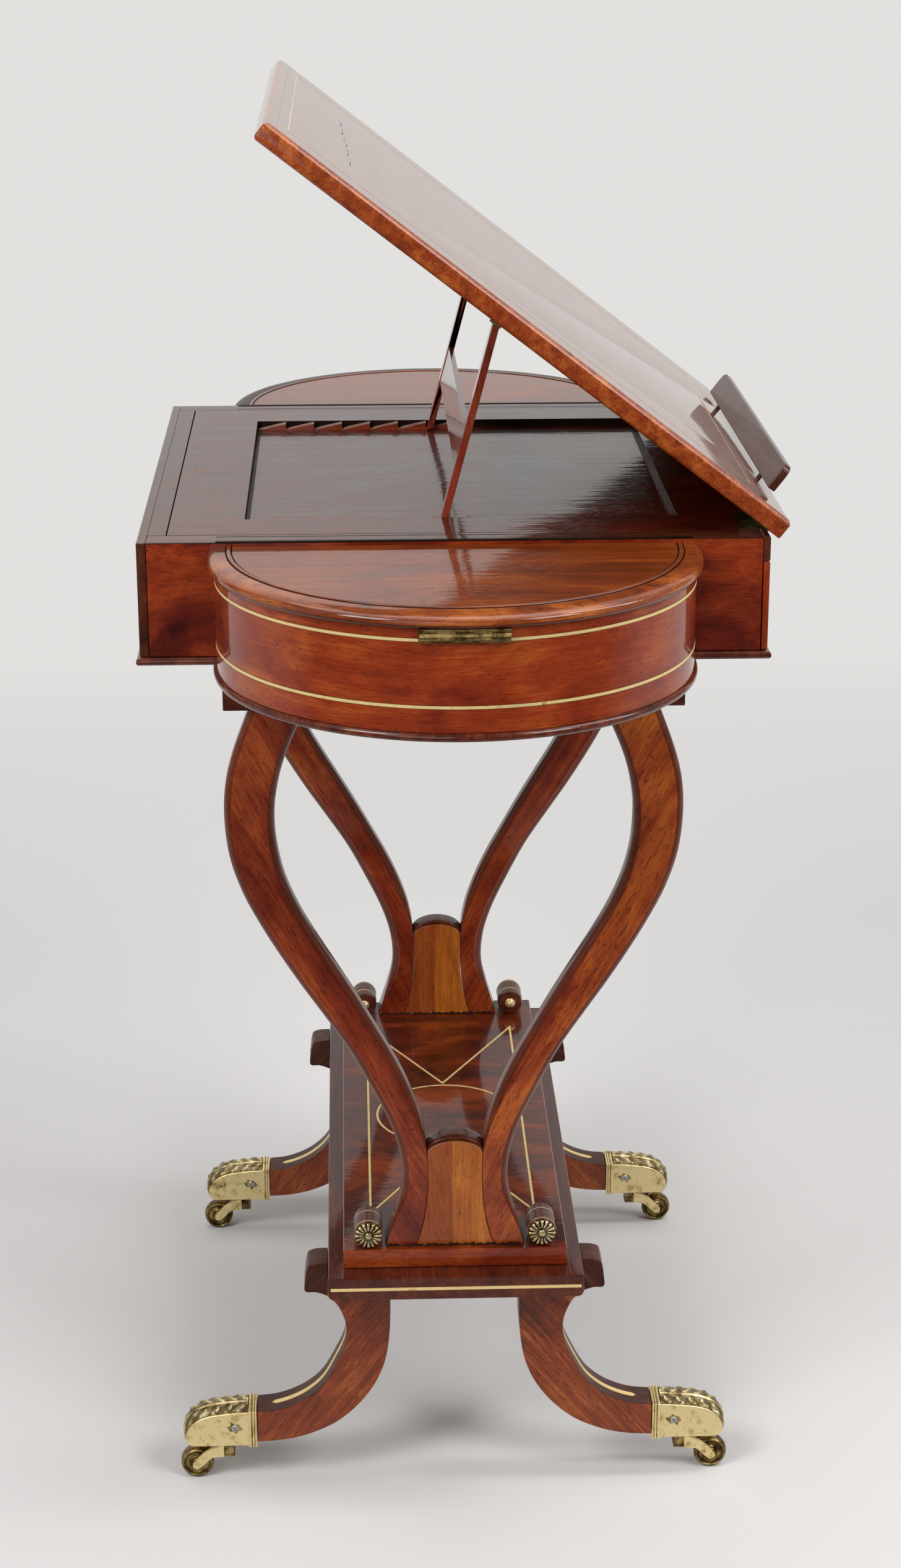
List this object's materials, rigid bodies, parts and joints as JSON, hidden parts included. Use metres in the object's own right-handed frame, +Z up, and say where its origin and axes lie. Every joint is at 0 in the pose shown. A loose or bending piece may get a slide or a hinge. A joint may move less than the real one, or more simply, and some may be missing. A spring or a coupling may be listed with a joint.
{
  "type": "reading and games table",
  "caption": "Mahogany reading and games table: sliding top with a hinged slope on a ratchet prop, lidded round-ended boxes, lyre supports and sabre legs on castors.",
  "frame": {"origin": "floor level, under the middle of the raised table's outline", "axes": "+Z up; +Y along the table, from the near round end to the far one; +X across it, towards the slope's hinges"},
  "size_m": [0.4522, 0.8206, 1.0113],
  "materials": {
    "case_mahogany": "French polished, dark",
    "top_mahogany": "French polished, dark",
    "end_mahogany": "French polished",
    "slope_mahogany": "French polished, worn",
    "stand_mahogany": "French polished",
    "stem_mahogany": "French polished, faded",
    "ebonised_wood": "stained dark",
    "brass_stringing": "polished",
    "cast_brass": "aged",
    "dark_brass": "tarnished"
  },
  "bodies": {
    "table": {"end_wall_near": "end_mahogany", "end_wall_far": "end_mahogany", "side_fascia_left": "case_mahogany", "side_rail_left": "top_mahogany", "side_fascia_right": "case_mahogany", "bottom_board": "ebonised_wood", "apron_near": "end_mahogany", "apron_far": "end_mahogany", "lid_hinge_box_leaf_near": "cast_brass", "lid_hinge_box_leaf_far": "cast_brass", "bearer_near": "case_mahogany", "bearer_far": "case_mahogany", "lyre_arm_near_left": "stand_mahogany", "lyre_arm_near_right": "stand_mahogany", "lyre_arm_far_left": "stand_mahogany", "lyre_arm_far_right": "stand_mahogany", "lyre_stem_near": "stem_mahogany", "lyre_stem_far": "stem_mahogany", "bolster_near_left": "stand_mahogany", "bolster_near_right": "stand_mahogany", "bolster_far_left": "stand_mahogany", "bolster_far_right": "stand_mahogany", "upper_plinth": "stand_mahogany", "lower_plinth": "stand_mahogany", "plinth_string_hourglass": "brass_stringing", "plinth_string_ring": "brass_stringing", "sabre_leg_near_left": "stand_mahogany", "sabre_leg_near_right": "stand_mahogany", "sabre_leg_far_left": "stand_mahogany", "sabre_leg_far_right": "stand_mahogany", "castor_socket_near_left": "cast_brass", "castor_socket_near_right": "cast_brass", "castor_socket_far_left": "cast_brass", "castor_socket_far_right": "cast_brass"},
    "panel": {"slide_panel": "top_mahogany", "panel_front_strip": "case_mahogany", "ratchet_near": "top_mahogany", "ratchet_far": "top_mahogany", "slope_hinge_panel_leaf_near": "cast_brass", "slope_hinge_panel_leaf_far": "cast_brass"},
    "slope": {"slope_board": "slope_mahogany", "slope_hinge_board_leaf_near": "cast_brass", "slope_hinge_board_leaf_far": "cast_brass", "prop_bracket_near": "dark_brass", "prop_bracket_far": "dark_brass"},
    "prop": {"prop_frame": "slope_mahogany"},
    "ledge": {"book_ledge": "slope_mahogany"},
    "near_lid": {"lid_near": "end_mahogany", "lid_hinge_leaf_near": "cast_brass"},
    "far_lid": {"lid_far": "end_mahogany", "lid_hinge_leaf_far": "cast_brass"},
    "horn_near_left": {"castor_horn_near_left": "dark_brass"},
    "horn_near_right": {"castor_horn_near_right": "dark_brass"},
    "horn_far_left": {"castor_horn_far_left": "dark_brass"},
    "horn_far_right": {"castor_horn_far_right": "dark_brass"},
    "wheel_near_left": {"castor_wheel_near_left": "dark_brass"},
    "wheel_near_right": {"castor_wheel_near_right": "dark_brass"},
    "wheel_far_left": {"castor_wheel_far_left": "dark_brass"},
    "wheel_far_right": {"castor_wheel_far_right": "dark_brass"}
  },
  "joints": [
    {"name": "panel_slide", "type": "slide", "parent": "table", "child": "panel", "axis": [1, 0, 0], "range_m": [0, 0.25]},
    {"name": "slope_lift", "type": "hinge", "parent": "panel", "child": "slope", "pos_m": [0.207, 0, 0.735], "axis": [0, 1, 0], "range_deg": [0, 60]},
    {"name": "prop_fold", "type": "hinge", "parent": "slope", "child": "prop", "pos_m": [0.02197, 0, 0.87168], "axis": [0, 1, 0], "range_deg": [-66.6, 0]},
    {"name": "ledge_raise", "type": "slide", "parent": "slope", "child": "ledge", "axis": [0.6088, 0, 0.7934], "range_m": [-0.0025, 0.006]},
    {"name": "lid_near_open", "type": "hinge", "parent": "table", "child": "near_lid", "pos_m": [-0.0098, -0.4078, 0.7186], "axis": [1, 0, 0], "range_deg": [0, 100]},
    {"name": "lid_far_open", "type": "hinge", "parent": "table", "child": "far_lid", "pos_m": [-0.0098, 0.4078, 0.7186], "axis": [-1, 0, 0], "range_deg": [0, 100]},
    {"name": "swivel_near_left", "type": "hinge", "parent": "table", "child": "horn_near_left", "pos_m": [-0.1818, -0.202, 0.0312], "axis": [0, 0, 1], "continuous": true},
    {"name": "swivel_near_right", "type": "hinge", "parent": "table", "child": "horn_near_right", "pos_m": [0.1622, -0.202, 0.0312], "axis": [0, 0, 1], "continuous": true},
    {"name": "swivel_far_left", "type": "hinge", "parent": "table", "child": "horn_far_left", "pos_m": [-0.1818, 0.202, 0.0312], "axis": [0, 0, 1], "continuous": true},
    {"name": "swivel_far_right", "type": "hinge", "parent": "table", "child": "horn_far_right", "pos_m": [0.1622, 0.202, 0.0312], "axis": [0, 0, 1], "continuous": true},
    {"name": "roll_near_left", "type": "hinge", "parent": "horn_near_left", "child": "wheel_near_left", "pos_m": [-0.2048, -0.202, 0.0125], "axis": [0, 1, 0], "continuous": true},
    {"name": "roll_near_right", "type": "hinge", "parent": "horn_near_right", "child": "wheel_near_right", "pos_m": [0.1852, -0.202, 0.0125], "axis": [0, 1, 0], "continuous": true},
    {"name": "roll_far_left", "type": "hinge", "parent": "horn_far_left", "child": "wheel_far_left", "pos_m": [-0.2048, 0.202, 0.0125], "axis": [0, 1, 0], "continuous": true},
    {"name": "roll_far_right", "type": "hinge", "parent": "horn_far_right", "child": "wheel_far_right", "pos_m": [0.1852, 0.202, 0.0125], "axis": [0, 1, 0], "continuous": true}
  ],
  "couplings": [
    {"joint": "prop_fold", "follows": "slope_lift", "ratio": -1.11}
  ]
}
